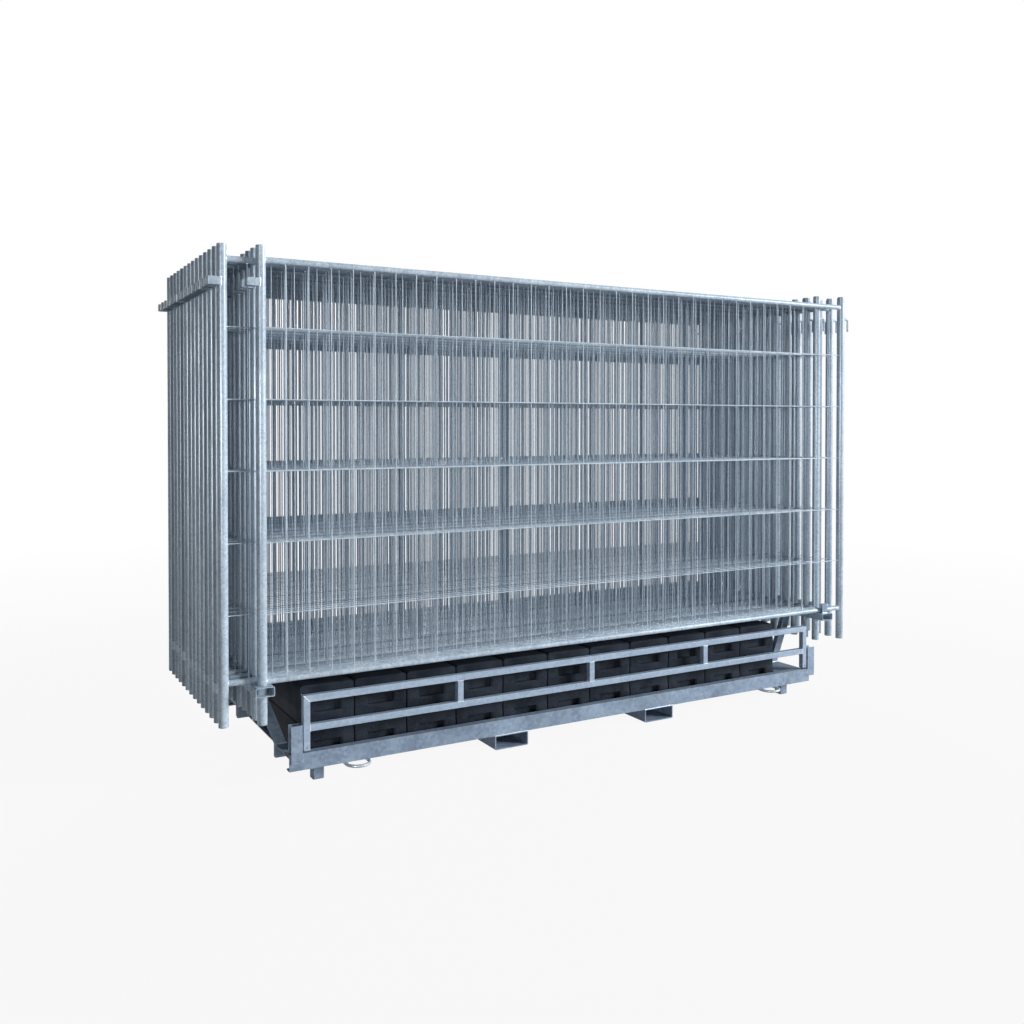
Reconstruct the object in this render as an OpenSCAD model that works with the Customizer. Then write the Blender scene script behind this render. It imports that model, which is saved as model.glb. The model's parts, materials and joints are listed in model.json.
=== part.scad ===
// Galvanised transport rack loaded with nested mesh fence panels and their foot blocks.
// X runs along the panels, -Y is the loading front, Z is up, the origin is the bottom centre.

/* [Fence panel] */
// Number of panels standing in the rack
panel_count = 28; // [4:2:28]
// Length of a panel post
panel_h = 2000; // [1500:10:2400]
// Distance between the axes of a panel's two posts
post_span = 3410; // [2900:10:3600]
// Outside diameter of a post
post_d = 42; // [38:0.5:48]
// Wall of a post
post_wall = 2; // [1:0.1:3]
// Outside diameter of the top and bottom rail
rail_d = 27; // [22:0.5:32]
// Wall of a rail
rail_wall = 2; // [1:0.1:3]
// Post top to the axis of the top rail
top_rail_drop = 60; // [40:1:120]
// Post foot to the axis of the bottom rail
bottom_rail_rise = 180; // [150:1:220]
// Diameter of the mesh wires
wire_d = 4.5; // [3:0.1:5]
// Pitch of the upright wires
upright_pitch = 100; // [50:1:150]
// Pitch of the cross wires
cross_pitch = 300; // [150:5:400]
// How far the upright wires of the inner panels stand off their pitch, as a share of it
wire_wander = 0.08; // [0:0.01:0.1]

/* [Panel coupling] */
// How far the hook and the eye stand out past the post
coupler_reach = 42; // [34:1:50]
// Post top to the upper edge of the eye
eye_drop = 137; // [110:1:250]
// Height of the eye strap
eye_h = 34; // [20:1:50]
// Outside width of the eye strap
eye_w = 40; // [32:1:42]
// Thickness of the eye strap
eye_t = 5; // [3:0.5:6]
// Bend radius of the eye strap, at its outside
eye_bend_r = 9; // [7:0.5:15]
// Post top to the axis of the hook's arm
hook_drop = 127; // [100:1:250]
// Diameter of the hook bar
hook_d = 12; // [8:0.5:14]
// Bend radius of the hook bar, at its axis
hook_bend_r = 11; // [10:0.5:18]
// Straight length of the hook below its bend
hook_leg = 61; // [30:1:90]

/* [Stacking] */
// Distance between two neighbouring panels
panel_pitch = 42; // [40:0.5:44]
// Sideways offset between the two alternating rows of panels
row_shift = 150; // [120:1:200]
// Height of the support tubes' upper face
support_top_z = 451; // [400:1:520]

/* [Support tubes] */
// Width of a support tube
support_w = 80; // [70:1:100]
// Height of a support tube
support_h = 40; // [30:1:60]
// Wall of a support tube
support_wall = 3; // [2:0.5:5]
// How far a support tube runs past the first and the last panel's axis
support_overhang = 50; // [40:1:80]
// Clearance all round a post in its hole
post_clearance = 2; // [1:0.5:4]
// Width of the stop plates
stop_w = 40; // [30:1:60]
// Height of the stop plates
stop_h = 55; // [40:1:80]
// Thickness of the stop plates
stop_t = 6; // [4:0.5:8]

/* [Rack base] */
// Length of the sills
rack_l = 3040; // [2900:10:3100]
// Depth of the rack over both sills
rack_d = 1164; // [1140:2:1300]
// Floor to the underside of the sills, the height of the fork pockets
clear_h = 68; // [60:1:110]
// Height of a sill
sill_h = 72; // [60:1:100]
// Flange width of a sill
sill_flange = 40; // [30:1:50]
// Thickness of the folded steel
sheet_t = 5; // [4:0.5:6]
// Width of a fork pocket
pocket_w = 180; // [150:5:240]
// Wall of a fork pocket
pocket_wall = 5; // [4:0.5:8]
// Distance between the middles of the fork pockets
pocket_spacing = 880; // [500:10:1200]
// Side of a leg
leg_w = 50; // [40:1:70]
// Wall of a leg
leg_wall = 4; // [3:0.5:6]
// Sill end to the middle of a leg
leg_end_gap = 145; // [120:5:500]
// Sill face to the front of a leg
leg_setback = 50; // [42:1:80]
// Outside width of a lashing ring
ring_w = 118; // [80:1:140]
// Bar diameter of a lashing ring
ring_d = 14; // [10:0.5:18]
// Sill end to the middle of a lashing ring
ring_end_gap = 305; // [270:5:600]

/* [Corner posts] */
// Height of a corner platform above the sill's underside
platform_h = 60; // [40:1:65]
// Width of the platform beside the first blocks
narrow_platform_w = 65; // [60:1:70]
// Width of a strut, seen from the front
strut_w = 50; // [40:1:60]
// Clearance between a strut and the panel posts before and behind it
strut_clearance = 6; // [3:0.5:8]

/* [Gates] */
// How much a gate is shorter than the sills, at each end
gate_end_gap = 41; // [35:1:60]
// Height of a gate
gate_h = 236; // [200:1:300]
// Side of the gate's square tube
gate_tube = 30; // [25:1:40]
// Wall of the gate's square tube
gate_wall = 2.5; // [2:0.1:4]
// Gap between a gate and the sill below it
gate_gap = 8; // [7:0.5:15]
// Gate foot to the underside of its middle rail
gate_mid_rise = 80; // [60:1:120]
// Bays between a gate's uprights
gate_bays = 4; // [2:1:6]
// Sideways offset of a gate from the rack's middle
gate_shift = 21; // [0:1:24]
// Flange width of the channel that guides a gate's end
guide_w = 50; // [45:1:60]
// Height of the channel's front flange
guide_h = 161; // [140:1:180]
// How far the front flange laps down over the sill
guide_lap = 40; // [20:1:50]
// Gap between a gate's end and its guide
guide_gap = 5; // [3:0.5:8]
// Gate foot to the axis of its pivot pins
pivot_rise = 14; // [12:0.5:20]
// Diameter of the pivot pins
pivot_d = 14; // [10:0.5:16]
// Gate foot to the axis of its lock pin
lock_rise = 93; // [85:0.5:100]
// Diameter of the lock pin
lock_d = 12; // [10:0.5:16]
// Travel of the lock pin
lock_stroke = 22; // [12:0.5:24]
// Diameter of the vent hole at a gate post's foot
vent_d = 6; // [4:0.5:8]

/* [Foot blocks] */
// Layers of blocks
block_layers = 2; // [1:1:2]
// Width of a block
block_w = 246; // [200:1:246]
// Height of a block
block_h = 166; // [120:1:168]
// Blocks' rear ends to the wide rear platform
block_rear_gap = 50; // [20:1:120]
// Gap between two blocks
block_gap = 6; // [3:0.5:10]
// Radius of a block's upper edges
block_edge_r = 14; // [6:1:25]
// Sill face to the blocks' front faces
block_setback = 82; // [60:1:120]
// Width of the hand-hold in a block's end
grip_w = 124; // [90:1:140]
// Height of the hand-hold
grip_h = 42; // [30:1:60]
// Depth of the hand-hold
grip_depth = 22; // [10:1:40]
// Block foot to the hand-hold's lower edge
grip_rise = 43; // [30:1:60]
// Width of the pads beside the hand-hold
pad_w = 55; // [40:1:58]
// How far the pads stand proud
pad_t = 3; // [1:0.5:5]

/* [Hidden] */
$fn = 48;
// Cuts run past the faces that they open
overrun = 1;
// Weld line left open between two round pieces
weld_gap = 0.2;
// Clearance where one piece rests on, or slides in, another
rest_gap = 0.3;
// Inside corner radius that rolled square tube has, beside its outside radius
tube_corner_r = 6;
gate_corner_r = 3;
// Pin heads
head_over = 10;
head_h = 8;
lock_head_h = 6;

panel_line = (panel_count - 1) * panel_pitch;
post_foot_z = support_top_z + rest_gap + rail_d / 2 - bottom_rail_rise;
top_rail_z = panel_h - top_rail_drop;
mesh_h = top_rail_z - bottom_rail_rise;
upright_count = floor((post_span - post_d) / upright_pitch);
cross_count = floor((mesh_h - rail_d) / cross_pitch);
cross_y = -(wire_d + weld_gap);
row_post_x = (post_span - row_shift) / 2;
// How far each panel's mesh is welded off the panel's middle, as a share of the upright pitch
mesh_slips = [0, 0, 0.26, -0.22, 0.34, -0.14, -0.06, 0.02, -0.14, 0.10, -0.06, 0.22, 0.30, -0.34,
              -0.14, -0.18, 0.22, -0.30, -0.10, 0.26, -0.18, -0.14, 0.02, 0.34, -0.18, 0.06, 0.30, 0.06];
// The two panels at the front are still straight; further in, each wire has a phase of its own
straight_panels = 2;
panel_phase = 94.2;
wire_phase = 309.6;

support_l = panel_line + 2 * support_overhang;
support_bottom_z = support_top_z - support_h;
stop_y = panel_line / 2 + rail_d / 2 + (support_overhang - rail_d / 2) / 4;

front_y = -rack_d / 2;
floor_z = clear_h + sheet_t;
sill_top_z = clear_h + sill_h;
ring_z = clear_h - weld_gap - ring_d / 2;
ring_bend_r = (ring_w - ring_d) / 2;
platform_z = clear_h + platform_h;
// Each strut stands in a gap between the posts of its row, so the right one is a panel further in
strut_d = 2 * panel_pitch - post_d - 2 * strut_clearance;
foot_w = strut_w + sheet_t;
strut_panel = 2 * floor(panel_count / 14);
strut_y = panel_y(strut_panel) + post_d / 2 + strut_clearance;
strut_lean = row_post_x - rack_l / 2;
load_half = min(rack_l / 2, row_post_x);
block_l = -(strut_y + panel_pitch) - block_rear_gap - (front_y + block_setback);
block_count = floor((2 * (load_half - narrow_platform_w) - block_gap) / (block_w + block_gap));
blocks_x = -load_half + narrow_platform_w + rest_gap + block_gap;
blocks_end_x = blocks_x + block_count * (block_w + block_gap) - block_gap;
strut_h = support_bottom_z - platform_z;

gate_l = rack_l - 2 * gate_end_gap;
gate_z = sill_top_z + gate_gap;
gate_top_z = gate_z + gate_h;
gate_y = front_y + gate_tube / 2;
gate_mid_z = gate_z + gate_mid_rise;
bay_pitch = (gate_l - gate_tube) / gate_bays;
pivot_z = gate_z + pivot_rise;
lock_z = gate_z + lock_rise;
guide_top_z = sill_top_z + guide_h - guide_lap;
guide_depth = gate_tube + sheet_t;
guide_x = gate_l / 2 + guide_gap;

function panel_name(i) = str("panel_", i < 9 ? "0" : "", i + 1);
function panel_x(i) = (i % 2 == 0 ? 1 : -1) * row_shift / 2;
function panel_y(i) = -panel_line / 2 + i * panel_pitch;
function wander(i, k) =
    i < straight_panels ? 0 : wire_wander * sin(i * i * panel_phase + k * wire_phase);

// General shapes

module both_ways() {
    children();
    rotate(180) children();
}

module round_tube(d, wall, l) {
    difference() {
        cylinder(h = l, d = d);
        translate([0, 0, -overrun]) cylinder(h = l + 2 * overrun, d = d - 2 * wall);
    }
}

module rounded_rect(w, h, r) {
    square([w - 2 * r, h], center = true);
    square([w, h - 2 * r], center = true);
    for (x = [-1, 1], y = [-1, 1])
        translate([x * (w / 2 - r), y * (h / 2 - r)]) circle(r = r);
}

module box_tube(w, h, wall, r, l) {
    linear_extrude(l) difference() {
        rounded_rect(w, h, r);
        rounded_rect(w - 2 * wall, h - 2 * wall, r - wall / 2);
    }
}

module channel_profile(h, flange, t) {
    polygon([[0, 0], [flange, 0], [flange, t], [t, t],
             [t, h - t], [flange, h - t], [flange, h], [0, h]]);
}

// A bolt along +X: its shank runs from 0 to l, its head stands before it
module bolt(d, l, head) {
    rotate([0, 90, 0]) cylinder(h = l, d = d);
    translate([-head, 0, 0]) rotate([0, 90, 0]) cylinder(h = head, d = d + head_over, $fn = 6);
}

// Fence panel, with its feet at Z = 0 and its middle at X = 0

module panel_post(side) {
    translate([side * post_span / 2, 0, 0]) round_tube(post_d, post_wall, panel_h);
}

module panel_rail(z) {
    difference() {
        translate([-post_span / 2, 0, z]) rotate([0, 90, 0]) round_tube(rail_d, rail_wall, post_span);
        for (side = [-1, 1])
            translate([side * post_span / 2, 0, z - rail_d])
                cylinder(h = 2 * rail_d, d = post_d + 2 * weld_gap);
    }
}

module upright_wires(i) {
    foot_z = bottom_rail_rise + rail_d / 2 + weld_gap;
    for (k = [0 : upright_count - 1])
        translate([(k - (upright_count - 1) / 2 + mesh_slips[i] + wander(i, k)) * upright_pitch, 0, foot_z])
            cylinder(h = mesh_h - rail_d - 2 * weld_gap, d = wire_d, $fn = 16);
}

module cross_wires() {
    near_y = cross_y + wire_d / 2;
    l = post_span - 2 * (sqrt(pow(post_d / 2, 2) - pow(near_y, 2)) + weld_gap);
    for (i = [0 : cross_count - 1])
        translate([-l / 2, cross_y,
                   bottom_rail_rise + mesh_h / 2 + (i - (cross_count - 1) / 2) * cross_pitch])
            rotate([0, 90, 0]) cylinder(h = l, d = wire_d, $fn = 16);
}

module hook() {
    arm_z = panel_h - hook_drop;
    leg_x = post_d / 2 + coupler_reach - hook_d / 2;
    bend_x = leg_x - hook_bend_r;
    bend_z = arm_z - hook_bend_r;
    translate([post_span / 2, 0, 0]) difference() {
        union() {
            translate([0, 0, arm_z]) rotate([0, 90, 0]) cylinder(h = bend_x, d = hook_d);
            translate([bend_x, 0, bend_z]) rotate([90, 0, 0]) rotate_extrude(angle = 90)
                translate([hook_bend_r, 0]) circle(d = hook_d);
            translate([leg_x, 0, bend_z - hook_leg]) cylinder(h = hook_leg, d = hook_d);
        }
        translate([0, 0, bend_z]) cylinder(h = 2 * hook_bend_r, d = post_d + 2 * weld_gap);
    }
}

// Plan of the eye strap, drawn in by an inset: two bends, the flat end between them and the flat sides
module eye_plan(inset) {
    bend_x = post_d / 2 + coupler_reach - eye_bend_r;
    bend_y = eye_w / 2 - eye_bend_r;
    for (side = [-1, 1])
        translate([-bend_x, side * bend_y]) circle(d = 2 * (eye_bend_r - inset));
    translate([inset - bend_x - eye_bend_r, -bend_y]) square([eye_bend_r, 2 * bend_y]);
    translate([-bend_x, inset - eye_w / 2]) square([bend_x, eye_w - 2 * inset]);
}

module eye() {
    translate([-post_span / 2, 0, panel_h - eye_drop - eye_h]) linear_extrude(eye_h) difference() {
        eye_plan(0);
        eye_plan(eye_t);
        circle(d = post_d + 2 * weld_gap);
    }
}

module in_place(i) {
    translate([panel_x(i), panel_y(i), post_foot_z]) children();
}

module stored_panel(i) {
    color("lightsteelblue") in_place(i) {
        panel_post(-1);
        panel_post(1);
        panel_rail(top_rail_z);
        panel_rail(bottom_rail_rise);
        upright_wires(i);
        cross_wires();
        hook();
        eye();
    }
}

module front_panel_left_post() { color("lightsteelblue") in_place(0) panel_post(-1); }
module front_panel_right_post() { color("lightsteelblue") in_place(0) panel_post(1); }
module front_panel_top_rail() { color("lightsteelblue") in_place(0) panel_rail(top_rail_z); }
module front_panel_bottom_rail() { color("lightsteelblue") in_place(0) panel_rail(bottom_rail_rise); }
module front_panel_upright_wires() { color("silver") in_place(0) upright_wires(0); }
module front_panel_cross_wires() { color("silver") in_place(0) cross_wires(); }
module front_panel_hook() { color("silver") in_place(0) hook(); }
module front_panel_eye() { color("silver") in_place(0) eye(); }

// Support tubes: every other panel's post goes down through a hole, and all bottom rails rest on top

module support_tube() {
    difference() {
        translate([-row_post_x, support_l / 2, support_top_z - support_h / 2]) rotate([90, 0, 0])
            box_tube(support_w, support_h, support_wall, tube_corner_r, support_l);
        for (i = [0 : 2 : panel_count - 1])
            translate([-row_post_x, panel_y(i), support_bottom_z - overrun])
                cylinder(h = support_h + 2 * overrun, d = post_d + 2 * post_clearance);
    }
}

module left_support_tube() { color("slategray") support_tube(); }
module right_support_tube() { color("slategray") rotate(180) support_tube(); }

module stop_plates() {
    color("slategray") both_ways()
        translate([row_post_x - stop_w / 2, -stop_y - stop_t, support_top_z]) cube([stop_w, stop_t, stop_h]);
}

// Struts and their feet carry the support tubes at the rack's four corners

// One wall of a strut: a slanted strip of the given width, from an offset off the strut's inner edge
module slanted_strip(offset, w, d) {
    rotate([90, 0, 0]) translate([0, 0, -d]) linear_extrude(d)
        polygon([[-offset, 0], [-offset - w, 0], [-offset - w - strut_lean, strut_h], [-offset - strut_lean, strut_h]]);
}

module strut() {
    slanted_strip(0, strut_w, sheet_t);
    translate([0, sheet_t, 0]) slanted_strip(0, sheet_t, strut_d - 2 * sheet_t);
    translate([0, strut_d - sheet_t, 0]) slanted_strip(0, strut_w, sheet_t);
}

module struts() {
    color("slategray") both_ways() {
        translate([-rack_l / 2 + strut_w, strut_y, platform_z]) strut();
        translate([rack_l / 2 - strut_w, strut_y + panel_pitch, platform_z]) mirror([1, 0, 0]) strut();
    }
}

module strut_feet() {
    color("slategray") both_ways() for (place = [[-1, strut_y], [1, strut_y + panel_pitch]])
        translate([place[0] * (rack_l - foot_w) / 2, place[1] + strut_d / 2, clear_h])
            box_tube(foot_w, strut_d, sheet_t, tube_corner_r, platform_z - clear_h);
}

// A folded platform, open at the rack's end, from its inner edge at X = 0 to the end at X = w,
// and from the sill to a strut's foot
module platform(w, back_y) {
    d = back_y - front_y - sheet_t;
    h = platform_z - floor_z;
    translate([0, front_y + sheet_t, floor_z]) {
        translate([0, 0, h - sheet_t]) cube([w, d, sheet_t]);
        cube([sheet_t, d, h]);
        translate([0, d - sheet_t, 0]) cube([w, sheet_t, h]);
    }
}

module corner_platforms() {
    wide_x = blocks_end_x + block_gap;
    color("slategray") both_ways() {
        translate([wide_x, 0, 0]) platform(rack_l / 2 - wide_x, strut_y + panel_pitch);
        translate([-rack_l / 2 + narrow_platform_w, 0, 0]) mirror([1, 0, 0])
            platform(narrow_platform_w, strut_y);
    }
}

// Base frame

module sill() {
    translate([-rack_l / 2, front_y, clear_h]) rotate([90, 0, 90])
        linear_extrude(rack_l) channel_profile(sill_h, sill_flange, sheet_t);
}

module front_sill() { color("slategray") sill(); }
module rear_sill() { color("slategray") rotate(180) sill(); }

module floor_plate() {
    color("slategray") translate([-rack_l / 2 + foot_w, front_y + sill_flange, clear_h])
        cube([rack_l - 2 * foot_w, rack_d - 2 * sill_flange, sheet_t]);
}

module fork_pocket(x) {
    translate([x, rack_d / 2, clear_h / 2]) rotate([90, 0, 0])
        box_tube(pocket_w, clear_h, pocket_wall, tube_corner_r, rack_d);
}

module left_fork_pocket() { color("slategray") fork_pocket(-pocket_spacing / 2); }
module right_fork_pocket() { color("slategray") fork_pocket(pocket_spacing / 2); }

module legs() {
    color("slategray") both_ways() for (side = [-1, 1])
        translate([side * (rack_l / 2 - leg_end_gap), front_y + leg_setback + leg_w / 2, 0])
            box_tube(leg_w, leg_w, leg_wall, tube_corner_r, clear_h);
}

module lashing_ring() {
    rotate(180) rotate_extrude(angle = 180) translate([ring_bend_r, 0]) circle(d = ring_d);
    for (side = [-1, 1])
        translate([side * ring_bend_r, 0, 0]) rotate([-90, 0, 0]) cylinder(h = sill_flange, d = ring_d);
}

module lashing_rings() {
    color("silver") both_ways() for (side = [-1, 1])
        translate([side * (rack_l / 2 - ring_end_gap), front_y, ring_z]) lashing_ring();
}

// Gates, hung between channels that stand on the sill

module at_gate() {
    translate([gate_shift, gate_y, 0]) children();
}

// Half-space above or below the mitre line at a gate's upper left corner, with half the weld line
module mitre(above) {
    reach = 3 * gate_tube;
    translate([-gate_l / 2, 0, gate_top_z]) rotate([0, 45, 0])
        translate([-reach / 2, -reach / 2, above ? -weld_gap / 2 : weld_gap / 2 - reach]) cube(reach);
}

module pin_hole(x, z, d, l) {
    translate([x, 0, z]) rotate([0, 90, 0]) cylinder(h = l, d = d + 2 * rest_gap);
}

module gate_post(locked) {
    end_x = -gate_l / 2;
    difference() {
        translate([end_x + gate_tube / 2, 0, gate_z])
            box_tube(gate_tube, gate_tube, gate_wall, gate_corner_r, gate_h);
        mitre(true);
        pin_hole(end_x - overrun, pivot_z, pivot_d, gate_tube + 2 * overrun);
        if (locked) pin_hole(end_x - overrun, lock_z, lock_d, gate_wall + 2 * overrun);
        translate([end_x + gate_tube / 2, 0, gate_z + vent_d * 2]) rotate([90, 0, 0])
            cylinder(h = gate_tube, d = vent_d);
    }
}

module gate_top_rail() {
    difference() {
        translate([-gate_l / 2, 0, gate_top_z - gate_tube / 2]) rotate([0, 90, 0])
            box_tube(gate_tube, gate_tube, gate_wall, gate_corner_r, gate_l);
        mitre(false);
        mirror([1, 0, 0]) mitre(false);
    }
}

module gate() {
    mid_l = gate_l - 2 * (gate_tube + weld_gap);
    bay_h = gate_top_z - gate_mid_z - 2 * (gate_tube + weld_gap);
    at_gate() {
        gate_post(true);
        mirror([1, 0, 0]) gate_post(false);
        gate_top_rail();
        translate([-mid_l / 2, 0, gate_mid_z + gate_tube / 2]) rotate([0, 90, 0])
            box_tube(gate_tube, gate_tube, gate_wall, gate_corner_r, mid_l);
        for (i = [1 : gate_bays - 1])
            translate([(i - gate_bays / 2) * bay_pitch, 0, gate_mid_z + gate_tube + weld_gap])
                box_tube(gate_tube, gate_tube, gate_wall, gate_corner_r, bay_h);
    }
}

module front_gate() { color("lightslategray") gate(); }
module rear_gate() { color("lightslategray") rotate(180) gate(); }

// The guide at a gate's left end, drawn about the gate's middle
module gate_guide(locked) {
    h = guide_top_z - sill_top_z;
    difference() {
        translate([-guide_x, -gate_tube / 2, sill_top_z]) {
            translate([-guide_w, -sheet_t, h - guide_h]) cube([guide_w, sheet_t, guide_h]);
            translate([-sheet_t, 0, 0]) cube([sheet_t, guide_depth, h]);
            translate([-guide_w, guide_depth, 0]) cube([guide_w, sheet_t, h]);
        }
        pin_hole(-guide_x - sheet_t - overrun, pivot_z, pivot_d, sheet_t + 2 * overrun);
        if (locked) pin_hole(-guide_x - sheet_t - overrun, lock_z, lock_d, sheet_t + 2 * overrun);
    }
}

module gate_guides() {
    color("slategray") both_ways() at_gate() {
        gate_guide(true);
        mirror([1, 0, 0]) gate_guide(false);
    }
}

module pivot_pins() {
    l = sheet_t + guide_gap + gate_tube;
    color("silver") both_ways() at_gate() {
        translate([-guide_x - sheet_t, 0, pivot_z]) bolt(pivot_d, l, head_h);
        mirror([1, 0, 0]) translate([-guide_x - sheet_t, 0, pivot_z]) bolt(pivot_d, l, head_h);
    }
}

// Drawn back at rest; pushed in, its tip enters the gate's post
module lock_pin() {
    at_gate() translate([-guide_x - sheet_t - lock_stroke, 0, lock_z])
        bolt(lock_d, sheet_t + lock_stroke, lock_head_h);
}

module front_lock_pin() { color("silver") lock_pin(); }
module rear_lock_pin() { color("silver") rotate(180) lock_pin(); }

// Foot blocks, lying side by side in layers with their ends to the gates

module block_profile() {
    square([block_w, block_h - block_edge_r]);
    translate([block_edge_r, 0]) square([block_w - 2 * block_edge_r, block_h]);
    for (x = [block_edge_r, block_w - block_edge_r])
        translate([x, block_h - block_edge_r]) circle(r = block_edge_r);
}

module block_end() {
    translate([(block_w - grip_w) / 2, -overrun, grip_rise]) cube([grip_w, grip_depth + overrun, grip_h]);
}

module block_pads() {
    for (x = [0, block_w - pad_w])
        translate([x, -pad_t, grip_rise]) cube([pad_w, pad_t, grip_h]);
}

module foot_block() {
    difference() {
        translate([0, block_l, 0]) rotate([90, 0, 0]) linear_extrude(block_l) block_profile();
        block_end();
        translate([0, block_l, 0]) mirror([0, 1, 0]) block_end();
    }
    block_pads();
    translate([0, block_l, 0]) mirror([0, 1, 0]) block_pads();
}

module block_layer(k) {
    color("dimgray") for (i = [0 : block_count - 1])
        translate([blocks_x + i * (block_w + block_gap), front_y + block_setback, floor_z + k * block_h])
            foot_block();
}

module lower_foot_blocks() { block_layer(0); }
module upper_foot_blocks() { if (block_layers > 1) block_layer(1); }

front_panel_left_post();
front_panel_right_post();
front_panel_top_rail();
front_panel_bottom_rail();
front_panel_upright_wires();
front_panel_cross_wires();
front_panel_hook();
front_panel_eye();
for (i = [1 : panel_count - 1])
    stored_panel(i);
left_support_tube();
right_support_tube();
stop_plates();
struts();
strut_feet();
corner_platforms();
front_sill();
rear_sill();
floor_plate();
left_fork_pocket();
right_fork_pocket();
legs();
lashing_rings();
gate_guides();
pivot_pins();
front_gate();
rear_gate();
front_lock_pin();
rear_lock_pin();
lower_foot_blocks();
upper_foot_blocks();
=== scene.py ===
"""Dresses the loaded fence panel rack: zinc finishes, weld beads, moulded foot blocks and the stage."""

import json
import math
from collections import namedtuple

import bmesh
import bpy
from bpy.props import FloatProperty, FloatVectorProperty, IntProperty, PointerProperty
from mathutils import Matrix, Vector

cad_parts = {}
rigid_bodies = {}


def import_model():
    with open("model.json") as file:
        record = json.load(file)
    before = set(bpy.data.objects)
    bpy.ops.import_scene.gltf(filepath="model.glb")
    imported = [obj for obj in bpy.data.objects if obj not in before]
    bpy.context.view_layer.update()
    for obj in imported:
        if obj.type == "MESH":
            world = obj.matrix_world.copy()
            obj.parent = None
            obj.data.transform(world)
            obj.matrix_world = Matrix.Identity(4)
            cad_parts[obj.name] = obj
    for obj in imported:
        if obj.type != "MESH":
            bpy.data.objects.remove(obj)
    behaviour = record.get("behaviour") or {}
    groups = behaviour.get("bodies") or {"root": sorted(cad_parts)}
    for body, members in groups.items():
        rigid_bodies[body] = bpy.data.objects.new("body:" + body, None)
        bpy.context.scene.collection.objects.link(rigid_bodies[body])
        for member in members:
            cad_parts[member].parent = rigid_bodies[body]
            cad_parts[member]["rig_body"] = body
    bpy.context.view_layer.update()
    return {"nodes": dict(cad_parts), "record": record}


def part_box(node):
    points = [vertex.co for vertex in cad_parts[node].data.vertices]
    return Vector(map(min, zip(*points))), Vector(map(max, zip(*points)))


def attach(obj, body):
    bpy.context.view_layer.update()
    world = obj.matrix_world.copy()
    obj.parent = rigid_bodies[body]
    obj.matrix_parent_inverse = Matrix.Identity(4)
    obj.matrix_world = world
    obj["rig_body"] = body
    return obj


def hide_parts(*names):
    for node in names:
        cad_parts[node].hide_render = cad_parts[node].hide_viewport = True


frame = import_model()

bl_info = {
    "name": "Loaded fence panel rack",
    "version": (1, 0, 0),
    "blender": (4, 5, 0),
    "location": "View3D > Sidebar > Rack",
    "description": "Finishes, welds, foot blocks and stage of a galvanised rack with nested fence panels",
    "category": "Object",
}

FRONT = 1
REAR = -1
SIDES = (-1, 1)
STACK = [name for name in sorted(frame["nodes"]) if name.startswith("panel_")]

# How the inner panels' meshes differ: slip as a share of the pitch, and phases of the wander in degrees.
STRAIGHT_PANELS = 2
PANEL_PHASE = 94.2
WIRE_PHASE = 309.6
MESH_SLIPS = (0, 0, 0.26, -0.22, 0.34, -0.14, -0.06, 0.02, -0.14, 0.10, -0.06, 0.22, 0.30, -0.34,
              -0.14, -0.18, 0.22, -0.30, -0.10, 0.26, -0.18, -0.14, 0.02, 0.34, -0.18, 0.06, 0.30, 0.06)

# Welds: points round a saddle, and shares of the ring bar's diameter, the ripple and the spot's radius.
SADDLE_POINTS = 24
RING_BEAD_OUT = 0.42
RING_BEAD_DOWN = 0.1
RACK_RIPPLE = 1.25
SPOT_SQUASH = (0.95, 1.1, 0.95)

# Foot blocks: points are one below this distance, and an edge is flat or sharp at these angles.
SAME_POINT = 1e-6
FLAT_ANGLE = math.radians(1)
SHARP_ANGLE = math.radians(35)

# Finishes: how strongly the runs stretch along X, Y and Z, and what sets one zinc apart from the next.
ALONG_X = (1.2, 30.0, 30.0)
UPRIGHT = (45.0, 45.0, 1.6)
ALL_WAYS = (8.0, 8.0, 8.0)
Finish = namedtuple("Finish", "colour metallic roughness crystal streak aged")
FINISHES = {
    "galvanised_tube": Finish("tube", 0.06, 0.28, 110.0, UPRIGHT, True),
    "galvanised_wire": Finish("wire", 0.04, 0.45, 160.0, ALL_WAYS, False),
    "galvanised_sheet": Finish("sheet", 0.06, 0.45, 70.0, ALL_WAYS, False),
    "galvanised_gate": Finish("gate", 0.06, 0.42, 90.0, ALONG_X, False),
    "zinc_plated_bar": Finish("bar", 0.20, 0.36, 130.0, ALL_WAYS, False),
}
ZINC_SPECULAR = 0.08
PLASTIC_SPECULAR = 0.06
AGE_TURN = 6.5
AGE_SHARE = 0.85
AGE_SHADE = 0.6

# Stage: each lamp's size and place in metres, and the distances at which the floor turns white.
Lamp = namedtuple("Lamp", "size place")
LAMPS = {
    "key": Lamp(8.0, (17.3, -13.5, 6.8)),
    "back": Lamp(3.0, (4.1, 10.2, 4.5)),
    "top": Lamp(6.0, (0.0, -0.6, 7.0)),
    "fill": Lamp(1.2, (-6.0, -12.8, 2.2)),
    "glint": Lamp(2.6, (-10.9, -11.2, 1.9)),
}
LAMP_AIM = Vector((0.0, 0.0, 1.0))
FLOOR_REACH = 10.0
FLOOR_NEAR = 0.3
FLOOR_FAR = 0.9
FLOOR_WHITE = 0.92
SENSOR_WIDTH = 36.0
CLIP_END = 200.0


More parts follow.
